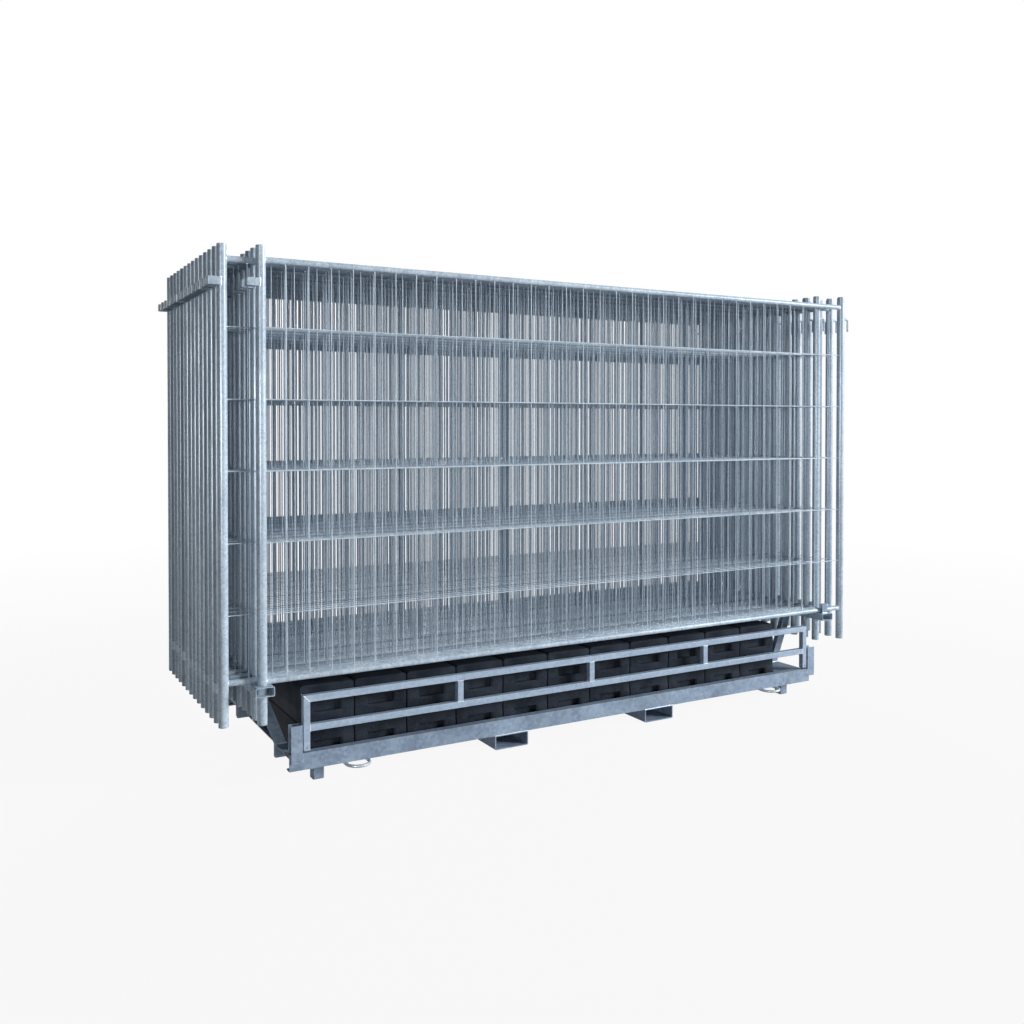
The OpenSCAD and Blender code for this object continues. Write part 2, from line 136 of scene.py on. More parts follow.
class PanelSizes(bpy.types.PropertyGroup):
    """Sizes of one fence panel, as its welds need them."""

    pitch: FloatProperty(
        name="Panel pitch", description="Distance from one panel to the next", default=0.042, unit="LENGTH")
    stack_front: FloatProperty(
        name="Stack front", description="The rack's middle to the front of the stack", default=0.588,
        unit="LENGTH")
    post_d: FloatProperty(
        name="Post diameter", description="Outside diameter of a post", default=0.042, unit="LENGTH")
    rail_d: FloatProperty(
        name="Rail diameter", description="Outside diameter of a rail", default=0.027, unit="LENGTH")
    top_rail_drop: FloatProperty(
        name="Top rail drop", description="Post top to the top rail's axis", default=0.06, unit="LENGTH")
    bottom_rail_rise: FloatProperty(
        name="Bottom rail rise", description="Post foot to the bottom rail's axis", default=0.18,
        unit="LENGTH")
    upright_count: IntProperty(name="Uprights", description="Upright wires in a panel", default=33)
    upright_pitch: FloatProperty(
        name="Upright pitch", description="Distance between upright wires", default=0.1, unit="LENGTH")
    wander: FloatProperty(
        name="Wander", description="How far the inner panels' uprights stand off their pitch", default=0.008,
        unit="LENGTH")
    cross_count: IntProperty(name="Cross wires", description="Cross wires in a panel", default=5)
    cross_pitch: FloatProperty(
        name="Cross pitch", description="Distance between cross wires", default=0.3, unit="LENGTH")
    cross_y: FloatProperty(
        name="Cross wire offset", description="Cross wires stand before the uprights by this", default=0.0047,
        unit="LENGTH")
    eye_w: FloatProperty(
        name="Eye width", description="Outside width of the eye strap", default=0.04, unit="LENGTH")
    eye_drop: FloatProperty(
        name="Eye drop", description="Post top to the eye's upper edge", default=0.137, unit="LENGTH")
    eye_h: FloatProperty(
        name="Eye height", description="Height of the eye strap", default=0.034, unit="LENGTH")
    hook_drop: FloatProperty(
        name="Hook drop", description="Post top to the hook's arm", default=0.127, unit="LENGTH")
    hook_d: FloatProperty(
        name="Hook diameter", description="Diameter of the hook bar", default=0.012, unit="LENGTH")


class WeldSizes(bpy.types.PropertyGroup):
    """Sizes of the weld beads and spot welds."""

    panel_bead: FloatProperty(
        name="Panel bead", description="Radius of the beads on posts and rails", default=0.0022,
        unit="LENGTH")
    rack_bead: FloatProperty(
        name="Rack bead", description="Radius of the beads on the rack", default=0.0032, unit="LENGTH")
    gate_bead: FloatProperty(
        name="Gate bead", description="Radius of the beads on the gates", default=0.0018, unit="LENGTH")
    ripple: FloatProperty(
        name="Ripple", description="Distance between the ripples of a bead", default=0.004, unit="LENGTH")
    ripple_depth: FloatProperty(
        name="Ripple depth", description="Share of the radius that a ripple takes", default=0.16,
        subtype="FACTOR")
    spot: FloatProperty(
        name="Spot weld", description="Radius of the spot welds of the mesh", default=0.0027, unit="LENGTH")
    wire_end: FloatProperty(
        name="Wire end", description="Radius of the weld at a wire's end", default=0.0036, unit="LENGTH")
    seed: IntProperty(name="Seed", description="Seed of the welds' unevenness", default=7)


class BlockSizes(bpy.types.PropertyGroup):
    """Sizes of one moulded foot block."""

    count: IntProperty(name="Blocks", description="Blocks in a layer", default=11)
    width: FloatProperty(name="Width", description="Width of a block", default=0.246, unit="LENGTH")
    gap: FloatProperty(name="Gap", description="Gap between two blocks", default=0.006, unit="LENGTH")
    edge_r: FloatProperty(
        name="Edge radius", description="Radius of the long upper edges", default=0.014, unit="LENGTH")
    grip_w: FloatProperty(
        name="Grip width", description="Width of the hand-hold", default=0.124, unit="LENGTH")
    grip_h: FloatProperty(
        name="Grip height", description="Height of the hand-hold", default=0.042, unit="LENGTH")
    grip_depth: FloatProperty(
        name="Grip depth", description="Depth of the hand-hold", default=0.022, unit="LENGTH")
    grip_rise: FloatProperty(
        name="Grip rise", description="Block foot to the hand-hold", default=0.043, unit="LENGTH")
    pad_w: FloatProperty(
        name="Pad width", description="Width of the pads beside the hand-hold", default=0.055, unit="LENGTH")
    pad_t: FloatProperty(
        name="Pad thickness", description="How far the pads stand proud", default=0.003, unit="LENGTH")
    bevel: FloatProperty(
        name="Worn edge", description="Radius of the other edges", default=0.0022, unit="LENGTH")


class RackSizes(bpy.types.PropertyGroup):
    """Sizes of the rack, as its welds need them."""

    sheet_t: FloatProperty(
        name="Sheet", description="Thickness of the folded steel", default=0.005, unit="LENGTH")
    leg_w: FloatProperty(name="Leg", description="Side of a leg", default=0.05, unit="LENGTH")
    ring_w: FloatProperty(
        name="Ring width", description="Outside width of a lashing ring", default=0.118, unit="LENGTH")
    ring_d: FloatProperty(
        name="Ring bar", description="Bar diameter of a lashing ring", default=0.014, unit="LENGTH")
    guide_w: FloatProperty(
        name="Guide width", description="Flange width of a gate guide", default=0.05, unit="LENGTH")
    guide_gap: FloatProperty(
        name="Guide gap", description="Gap between a gate's end and its guide", default=0.005, unit="LENGTH")
    platform_w: FloatProperty(
        name="Platform", description="Width of the narrow corner platform", default=0.065, unit="LENGTH")
    block_gap: FloatProperty(
        name="Platform gap", description="Gap between the blocks and the wide platform", default=0.006,
        unit="LENGTH")
    strut_w: FloatProperty(
        name="Strut width", description="Width of a strut", default=0.05, unit="LENGTH")
    strut_d: FloatProperty(
        name="Strut depth", description="Depth of a strut", default=0.03, unit="LENGTH")
    stop_w: FloatProperty(
        name="Stop width", description="Width of a stop plate", default=0.04, unit="LENGTH")
    stop_t: FloatProperty(
        name="Stop thickness", description="Thickness of a stop plate", default=0.006, unit="LENGTH")
    tube_z: FloatProperty(
        name="Support height", description="Floor to a support tube's axis", default=0.431, unit="LENGTH")
    tube_h: FloatProperty(
        name="Support depth", description="Height of a support tube, with its edges", default=0.042,
        unit="LENGTH")
    gate_tube: FloatProperty(
        name="Gate tube", description="Side of a gate's tube", default=0.03, unit="LENGTH")
    gate_mid_rise: FloatProperty(
        name="Middle rail", description="Gate foot to its middle rail", default=0.08, unit="LENGTH")
    gate_bays: IntProperty(name="Gate bays", description="Bays between a gate's uprights", default=4)


class FinishColours(bpy.types.PropertyGroup):
    """Colours of the finishes."""

    tube_light: FloatVectorProperty(
        name="Tube, bright", description="Bright zinc on posts and rails", subtype="COLOR",
        default=(0.54, 0.645, 0.74))
    tube_dark: FloatVectorProperty(
        name="Tube, dull", description="Dull zinc on posts and rails", subtype="COLOR",
        default=(0.29, 0.365, 0.455))
    wire_light: FloatVectorProperty(
        name="Wire, bright", description="Bright zinc on the mesh", subtype="COLOR",
        default=(0.62, 0.72, 0.80))
    wire_dark: FloatVectorProperty(
        name="Wire, dull", description="Dull zinc on the mesh", subtype="COLOR",
        default=(0.38, 0.46, 0.55))
    sheet_light: FloatVectorProperty(
        name="Rack, bright", description="Bright zinc on the rack", subtype="COLOR",
        default=(0.295, 0.38, 0.49))
    sheet_dark: FloatVectorProperty(
        name="Rack, dull", description="Dull zinc on the rack", subtype="COLOR",
        default=(0.155, 0.207, 0.285))
    gate_light: FloatVectorProperty(
        name="Gate, bright", description="Bright zinc on the gates", subtype="COLOR",
        default=(0.39, 0.485, 0.61))
    gate_dark: FloatVectorProperty(
        name="Gate, dull", description="Dull zinc on the gates", subtype="COLOR",
        default=(0.25, 0.325, 0.43))
    bar_light: FloatVectorProperty(
        name="Bar, bright", description="Bright zinc on hooks, rings and pins", subtype="COLOR",
        default=(0.56, 0.62, 0.68))
    bar_dark: FloatVectorProperty(
        name="Bar, dull", description="Dull zinc on hooks, rings and pins", subtype="COLOR",
        default=(0.34, 0.39, 0.45))
    block: FloatVectorProperty(
        name="Block", description="Recycled plastic of the foot blocks", subtype="COLOR",
        default=(0.008, 0.011, 0.018))
    block_worn: FloatVectorProperty(
        name="Block, worn", description="Scuffed edges of the foot blocks", subtype="COLOR",
        default=(0.030, 0.039, 0.054))


class StageSettings(bpy.types.PropertyGroup):
    """Floor, light and camera."""

    floor_radius: FloatProperty(
        name="Floor radius", description="Radius of the floor", default=60.0, unit="LENGTH")
    floor: FloatVectorProperty(
        name="Floor", description="Colour of the floor", subtype="COLOR", default=(0.3, 0.3, 0.3))
    ambient: FloatProperty(
        name="Ambient", description="Strength of the light from all round", default=0.03)
    key: FloatProperty(name="Key light", description="Power of the key light", default=7000.0, unit="POWER")
    top: FloatProperty(name="Top light", description="Power of the top light", default=32.0, unit="POWER")
    back: FloatProperty(name="Back light", description="Power of the back light", default=950.0, unit="POWER")
    fill: FloatProperty(name="Fill light", description="Power of the fill light", default=290.0, unit="POWER")
    glint: FloatProperty(
        name="Glint light", description="Power of the light that only reflections show", default=2800.0,
        unit="POWER")
    camera: FloatVectorProperty(
        name="Camera", description="Place of the camera", subtype="TRANSLATION",
        default=(-2.7324, -4.6488, 1.5395))
    yaw: FloatProperty(
        name="Yaw", description="Turn of the camera to the right", default=math.radians(29.4182),
        subtype="ANGLE")
    pitch: FloatProperty(
        name="Pitch", description="Tilt of the camera", default=math.radians(-0.834), subtype="ANGLE")
    lens: FloatProperty(name="Lens", description="Focal length in millimetres", default=34.569)
    shift: FloatProperty(name="Shift", description="Vertical shift of the lens", default=-0.0713)


class RackSettings(bpy.types.PropertyGroup):
    """All settings of the rack."""

    panel: PointerProperty(type=PanelSizes, name="Panel", description="Sizes of a fence panel")
    weld: PointerProperty(type=WeldSizes, name="Welds", description="Sizes of the welds")
    rack: PointerProperty(type=RackSizes, name="Rack", description="Sizes of the rack")
    block: PointerProperty(type=BlockSizes, name="Blocks", description="Sizes of a foot block")
    colour: PointerProperty(type=FinishColours, name="Colours", description="Colours of the finishes")
    stage: PointerProperty(type=StageSettings, name="Stage", description="Floor, light and camera")


def settings():
    return bpy.context.scene.loaded_rack


class Wire:
    """An output socket of a graph; arithmetic on it adds Math nodes."""

    def __init__(self, graph, socket):
        self.graph = graph
        self.socket = socket

    def __add__(self, other):
        return self.graph.math("ADD", self, other)

    def __radd__(self, other):
        return self.graph.math("ADD", other, self)

    def __sub__(self, other):
        return self.graph.math("SUBTRACT", self, other)

    def __rsub__(self, other):
        return self.graph.math("SUBTRACT", other, self)

    def __mul__(self, other):
        return self.graph.math("MULTIPLY", self, other)

    def __rmul__(self, other):
        return self.graph.math("MULTIPLY", other, self)

    def __mod__(self, other):
        return self.graph.math("MODULO", self, other)


class Graph:
    """A node tree that is put together from code."""

    def __init__(self, tree):
        self.tree = tree

    def feed(self, socket, value):
        if isinstance(value, Wire):
            self.tree.links.new(value.socket, socket)
        else:
            socket.default_value = value

    def add(self, kind, setup=None, sockets=None, take=0):
        node = self.tree.nodes.new(kind)
        for name, value in (setup or {}).items():
            if name == "stops":
                for stop, (place, shade) in zip(node.color_ramp.elements, value):
                    stop.position = place
                    stop.color = (shade, shade, shade, 1.0)
            else:
                setattr(node, name, value)
        for key, value in (sockets or {}).items():
            self.feed(node.inputs[key], value)
        return Wire(self, node.outputs[take])

    def math(self, operation, a, b=0.0):
        return self.add("ShaderNodeMath", {"operation": operation}, {0: a, 1: b})

    def mix(self, factor, a, b):
        return self.add("ShaderNodeMix", {"data_type": "RGBA"}, {0: factor, 6: a, 7: b}, take=2)

    def ramp(self, value, low, high):
        return self.add("ShaderNodeValToRGB", {"stops": ((low, 0.0), (high, 1.0))}, {"Fac": value})

    def noise(self, coords, scale, detail=3.0, rough=0.5):
        sockets = {"Vector": coords, "Scale": scale, "Detail": detail, "Roughness": rough}
        return self.add("ShaderNodeTexNoise", None, sockets)


def solid(colour):
    return (*colour, 1.0)


def new_material(name):
    """A material with its graph and its Principled shader."""
    material = bpy.data.materials.new(name)
    material.use_nodes = True
    return material, Graph(material.node_tree), material.node_tree.nodes["Principled BSDF"]


def panel_age(graph, coords, panel, rack):
    """Nought to one from panel to panel, as a stack holds newer and older ones; none on the support tubes."""
    depth = graph.add("ShaderNodeSeparateXYZ", None, {"Vector": coords}, take="Y")
    height = Wire(graph, depth.socket.node.outputs["Z"])
    index = graph.math("FLOOR", (depth + panel.stack_front) * (1.0 / panel.pitch))
    turn = graph.math("COSINE", index * index * AGE_TURN)
    off_tube = graph.math("GREATER_THAN", graph.math("ABSOLUTE", height - rack.tube_z), rack.tube_h / 2)
    return (0.5 - turn * 0.5) * off_tube


def zinc(name, finish, light, dark):
    """Hot-dip zinc: crystals, clouds, runs along the piece and chalky bloom."""
    material, graph, shader = new_material(name)
    coords = graph.add("ShaderNodeTexCoord", take="Object")
    stretched = graph.add("ShaderNodeMapping", None, {"Vector": coords, "Scale": finish.streak})
    clouds = graph.noise(coords, 5.0, 5.0, 0.6)
    runs = graph.noise(stretched, 1.0, 4.0, 0.6)
    cells = graph.add("ShaderNodeTexVoronoi", None, {"Vector": coords, "Scale": finish.crystal}, take="Color")
    cell = graph.add("ShaderNodeSeparateColor", None, {"Color": cells})
    tone = graph.ramp(clouds * 0.45 + runs * 0.4 + cell * 0.15, 0.34, 0.66)
    chalk = graph.ramp(graph.noise(coords, 11.0, 6.0, 0.65), 0.56, 0.78)
    grains = graph.noise(coords, 420.0, 2.0)
    metal = graph.mix(tone, solid(dark), solid(light))
    if finish.aged:
        age = panel_age(graph, coords, settings().panel, settings().rack)
        metal = graph.mix(age * AGE_SHARE, metal, solid([AGE_SHADE * part for part in dark]))
    pale = [0.7 * part + 0.2 for part in light]
    shader.inputs["Specular IOR Level"].default_value = ZINC_SPECULAR
    graph.feed(shader.inputs["Base Color"], graph.mix(chalk * 0.35, metal, solid(pale)))
    graph.feed(shader.inputs["Roughness"], cell * 0.12 + chalk * 0.14 + tone * -0.08 + finish.roughness)
    graph.feed(shader.inputs["Metallic"], finish.metallic - chalk * finish.metallic)
    height = grains * 0.5 + runs * 0.8 + cell * 0.25
    relief = {"Height": height, "Strength": 0.12, "Distance": 0.0008}
    graph.feed(shader.inputs["Normal"], graph.add("ShaderNodeBump", None, relief))
    return material


def plastic(name, base, worn):
    """Pressed recycled plastic: flakes, scuffed edges and a rough skin."""
    material, graph, shader = new_material(name)
    coords = graph.add("ShaderNodeTexCoord", take="Object")
    edge = graph.add("ShaderNodeAttribute", {"attribute_name": "worn_edge"}, take="Fac")
    clouds = graph.noise(coords, 9.0, 4.0, 0.6)
    skin = graph.noise(coords, 170.0, 4.0, 0.6)
    flakes = graph.add("ShaderNodeTexVoronoi", None, {"Vector": coords, "Scale": 130.0}, take="Color")
    flake = graph.ramp(graph.add("ShaderNodeSeparateColor", None, {"Color": flakes}), 0.8, 1.0)
    scuff = edge * graph.ramp(skin * 0.5 + clouds * 0.5, 0.38, 0.58)
    wear = scuff * 0.7 + flake * 0.16 + graph.ramp(clouds, 0.42, 0.72) * 0.2
    graph.feed(shader.inputs["Base Color"], graph.mix(wear, solid(base), solid(worn)))
    graph.feed(shader.inputs["Roughness"], skin * 0.3 + 0.5)
    shader.inputs["Specular IOR Level"].default_value = PLASTIC_SPECULAR
    relief = {"Height": skin * 0.8 + flake * 0.3 + clouds, "Strength": 0.35, "Distance": 0.0016}
    graph.feed(shader.inputs["Normal"], graph.add("ShaderNodeBump", None, relief))
    return material


def new_tree(name, inputs):
    """A Geometry Nodes tree with named inputs; returns its graph and the inputs as wires."""
    tree = bpy.data.node_groups.new(name, "GeometryNodeTree")
    tree.interface.new_socket("Geometry", in_out="INPUT", socket_type="NodeSocketGeometry")
    for label, kind in inputs.items():
        tree.interface.new_socket(label, in_out="INPUT", socket_type=kind)
    tree.interface.new_socket("Geometry", in_out="OUTPUT", socket_type="NodeSocketGeometry")
    graph = Graph(tree)
    entry = tree.nodes.new("NodeGroupInput")
    return graph, {socket.name: Wire(graph, socket) for socket in entry.outputs if socket.name}


def close_tree(graph, geometry, material):
    """Ends a tree in plain geometry with a material."""
    plain = graph.add("GeometryNodeRealizeInstances", None, {"Geometry": geometry})
    smooth = graph.add("GeometryNodeSetShadeSmooth", None, {"Geometry": plain})
    dressed = graph.add("GeometryNodeSetMaterial", None, {"Geometry": smooth, "Material": material})
    graph.feed(graph.tree.nodes.new("NodeGroupOutput").inputs["Geometry"], dressed)
    return graph.tree


def bead_tree():
    """Weld beads along paths, with ripples."""
    graph, wires = new_tree("weld_beads", {
        "Radius": "NodeSocketFloat", "Ripple": "NodeSocketFloat", "Ripple Depth": "NodeSocketFloat",
        "Seed": "NodeSocketInt", "Material": "NodeSocketMaterial"})
    path = graph.add("GeometryNodeMeshToCurve", None, {"Mesh": wires["Geometry"]})
    steps = {"Curve": path, "Length": wires["Ripple"] * 0.5}
    path = graph.add("GeometryNodeResampleCurve", {"mode": "LENGTH"}, steps)
    index = graph.add("GeometryNodeInputIndex")
    uneven = graph.add("FunctionNodeRandomValue", {"data_type": "FLOAT"},
                       {2: -0.1, 3: 0.1, "Seed": wires["Seed"]}, take=1)
    swell = 1.0 - (index % 2) * wires["Ripple Depth"] + uneven
    ring = graph.add("GeometryNodeCurvePrimitiveCircle", None, {"Resolution": 6, "Radius": wires["Radius"]})
    sweep = {"Curve": path, "Profile Curve": ring, "Scale": swell, "Fill Caps": True}
    return close_tree(graph, graph.add("GeometryNodeCurveToMesh", None, sweep), wires["Material"])


def spot_tree():
    """Small spot welds on points, slightly uneven."""
    graph, wires = new_tree("spot_welds", {
        "Radius": "NodeSocketFloat", "Squash": "NodeSocketVector", "Seed": "NodeSocketInt",
        "Material": "NodeSocketMaterial"})
    ball = graph.add("GeometryNodeMeshIcoSphere", None, {"Radius": wires["Radius"], "Subdivisions": 1})
    squashed = graph.add("GeometryNodeTransform", None, {"Geometry": ball, "Scale": wires["Squash"]})
    size = graph.add("FunctionNodeRandomValue", {"data_type": "FLOAT"},
                     {2: 0.86, 3: 1.1, "Seed": wires["Seed"]}, take=1)
    spots = {"Points": wires["Geometry"], "Instance": squashed, "Scale": size}
    return close_tree(graph, graph.add("GeometryNodeInstanceOnPoints", None, spots), wires["Material"])


def row_tree():
    """A row of like pieces along X."""
    graph, wires = new_tree("block_row", {
        "Count": "NodeSocketInt", "Pitch": "NodeSocketFloat", "Start": "NodeSocketVector",
        "Material": "NodeSocketMaterial"})
    step = graph.add("ShaderNodeCombineXYZ", None, {"X": wires["Pitch"]})
    line = {"Count": wires["Count"], "Start Location": wires["Start"], "Offset": step}
    row = {"Points": graph.add("GeometryNodeMeshLine", None, line), "Instance": wires["Geometry"]}
    return close_tree(graph, graph.add("GeometryNodeInstanceOnPoints", None, row), wires["Material"])


def grow(name, tree, values, source, body):
    """Runs a tree on a source mesh and hands the plain mesh to a body."""
    seedling = bpy.data.objects.new(name + "_source", source)
    bpy.context.scene.collection.objects.link(seedling)
    modifier = seedling.modifiers.new(tree.name, "NODES")
    modifier.node_group = tree
    for socket in tree.interface.items_tree:
        if socket.in_out == "INPUT" and socket.name in values:
            modifier[socket.identifier] = values[socket.name]
    depsgraph = bpy.context.evaluated_depsgraph_get()
    mesh = bpy.data.meshes.new_from_object(seedling.evaluated_get(depsgraph), depsgraph=depsgraph)
    bpy.data.objects.remove(seedling)
    piece = bpy.data.objects.new(name, mesh)
    mesh.name = name
    bpy.context.scene.collection.objects.link(piece)
    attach(piece, body)
    return piece


def path_mesh(name, paths):
    """A mesh of edges from (points, closed) paths."""
    points = []
    edges = []
    for path, closed in paths:
        first = len(points)
        points += path
        edges += [(first + i, first + i + 1) for i in range(len(path) - 1)]
        if closed:
            edges.append((len(points) - 1, first))
    mesh = bpy.data.meshes.new(name)
    mesh.from_pydata(points, edges, [])
    return mesh


def point_mesh(name, points):
    mesh = bpy.data.meshes.new(name)
    mesh.from_pydata(points, [], [])
    return mesh


def slot_of(node_name):
    for entry in frame["record"]["subparts"]:
        if entry["node"] == node_name:
            return entry["material_slot"]
    raise RuntimeError("no record of node " + node_name)


def body_of(node_name):
    return frame["nodes"][node_name]["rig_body"]


class PanelPlace:
    """Where one panel stands."""

    def __init__(self, index, lo, hi, body):
        self.index = index
        self.x = (lo.x + hi.x) / 2
        self.y = (lo.y + hi.y) / 2
        self.foot = lo.z
        self.top = hi.z
        self.body = body


def panel_places():
    """The panels' places, front to rear, and the distance between a panel's posts."""
    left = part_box("front_panel_left_post")
    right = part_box("front_panel_right_post")
    span = right[0].x - left[0].x
    places = [PanelPlace(0, left[0], right[1], body_of("front_panel_left_post"))]
    places += [PanelPlace(i, *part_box(name), body_of(name)) for i, name in enumerate(STACK, 1)]
    return places, span


def upright_offsets(place, sizes):
    """The uprights' places about a panel's middle: the two front panels are straight, the others wander."""
    even = spread(sizes.upright_count, sizes.upright_pitch)
    if place.index < STRAIGHT_PANELS:
        return even
    slip = MESH_SLIPS[place.index] * sizes.upright_pitch
    phases = [place.index ** 2 * PANEL_PHASE + k * WIRE_PHASE for k in range(sizes.upright_count)]
    return [x + slip + sizes.wander * math.sin(math.radians(phase)) for x, phase in zip(even, phases)]


def by_body(places):
    bodies = {}
    for place in places:
        bodies.setdefault(place.body, []).append(place)
    return bodies


def saddle(post, z, side, rail_r, post_r):
    """The line where a rail meets a post."""
    path = []
    for step in range(SADDLE_POINTS):
        turn = math.tau * step / SADDLE_POINTS
        y = rail_r * math.cos(turn)
        reach = math.sqrt(post_r ** 2 - y ** 2)
        path.append((post[0] - side * reach, post[1] + y, z + rail_r * math.sin(turn)))
    return path, True


def coupler_lines(place, span, sizes):
    """The lines where the eye and the hook meet their posts."""
    post_r = sizes.post_d / 2
    half = sizes.eye_w / 2
    inset = math.sqrt(post_r ** 2 - half ** 2)
    left = place.x - span / 2
    right = place.x + span / 2
    high = place.top - sizes.eye_drop
    lines = []
    for side in SIDES:
        x, y = left - inset, place.y + side * half
        lines.append(open_line(*[(x, y, high - down) for down in (sizes.eye_h, sizes.eye_h / 2, 0.0)]))
    arm = (right, place.y)
    lines.append(saddle(arm, place.top - sizes.hook_drop, -1, sizes.hook_d / 2, post_r))
    return lines


def spread(count, pitch):
    """Places of a row of like pieces about its middle."""
    return [(i - (count - 1) / 2) * pitch for i in range(count)]


def open_line(*points):
    """A path through points, left open."""
    return list(points), False


def turned(path, way):
    """A path as it is at the front, or turned to the rear."""
    return [(way * x, way * y, z) for x, y, z in path]


def square_loop(x, y, z, w, axis):
    """A square line of side w about a point, across an axis."""
    half = w / 2
    ring = [(-half, -half), (half, -half), (half, half), (-half, half)]
    if axis == "X":
        return [(x, y + a, z + b) for a, b in ring]
    return [(x + a, y + b, z) for a, b in ring]


class RACK_OT_steel(bpy.types.Operator):
    """Gives every steel part of the rack and the panels its zinc finish"""

    bl_idname = "rack.steel"
    bl_label = "Zinc finishes"

    def execute(self, context):
        colour = settings().colour
        finishes = {}
        for slot, finish in FINISHES.items():
            light = getattr(colour, finish.colour + "_light")
            dark = getattr(colour, finish.colour + "_dark")
            finishes[slot] = zinc(slot, finish, light, dark)
        for name, node in frame["nodes"].items():
            slot = slot_of(name)
            if slot in finishes:
                node.data.materials.clear()
                node.data.materials.append(finishes[slot])
        return {"FINISHED"}


class RACK_OT_panel_welds(bpy.types.Operator):
    """Weld beads where the panels' rails, eyes and hooks meet their posts"""

    bl_idname = "rack.panel_welds"
    bl_label = "Panel weld beads"

    def execute(self, context):
        sizes, weld = settings().panel, settings().weld
        places, span = panel_places()
        tree = bead_tree()
        values = {"Radius": weld.panel_bead, "Ripple": weld.ripple, "Ripple Depth": weld.ripple_depth,
                  "Seed": weld.seed, "Material": bpy.data.materials["galvanised_tube"]}
        for body, members in by_body(places).items():
            paths = []
            for place in members:
                heights = (place.top - sizes.top_rail_drop, place.foot + sizes.bottom_rail_rise)
                for side in SIDES:
                    post = (place.x + side * span / 2, place.y)
                    paths += [saddle(post, z, side, sizes.rail_d / 2, sizes.post_d / 2) for z in heights]
                paths += coupler_lines(place, span, sizes)
            name = body + "_panel_welds"
            grow(name, tree, values, path_mesh(name, paths), body)
        return {"FINISHED"}


class RACK_OT_mesh_welds(bpy.types.Operator):
    """Spot welds where the mesh wires cross, and where they end on a rail or a post"""

    bl_idname = "rack.mesh_welds"
    bl_label = "Mesh welds"

    def execute(self, context):
        sizes, weld = settings().panel, settings().weld
        places, span = panel_places()
        tree = spot_tree()
        rows = spread(sizes.cross_count, sizes.cross_pitch)
        reach = span / 2 - math.sqrt((sizes.post_d / 2) ** 2 - sizes.cross_y ** 2)
        for body, members in by_body(places).items():
            crossings = []
            ends = []
            for place in members:
                low = place.foot + sizes.bottom_rail_rise
                high = place.top - sizes.top_rail_drop
                middle = (low + high) / 2
                columns = upright_offsets(place, sizes)
                crossings += [(place.x + dx, place.y - sizes.cross_y / 2, middle + dz)
                              for dx in columns for dz in rows]
                ends += [(place.x + dx, place.y, z) for dx in columns
                         for z in (low + sizes.rail_d / 2, high - sizes.rail_d / 2)]
                ends += [(place.x + side * reach, place.y - sizes.cross_y, middle + dz)
                         for side in SIDES for dz in rows]
            for kind, points, radius in (("spot", crossings, weld.spot), ("wire_end", ends, weld.wire_end)):
                name = body + "_" + kind + "_welds"
                values = {"Radius": radius, "Squash": SPOT_SQUASH, "Seed": weld.seed,
                          "Material": bpy.data.materials["galvanised_wire"]}
                grow(name, tree, values, point_mesh(name, points), body)
        return {"FINISHED"}


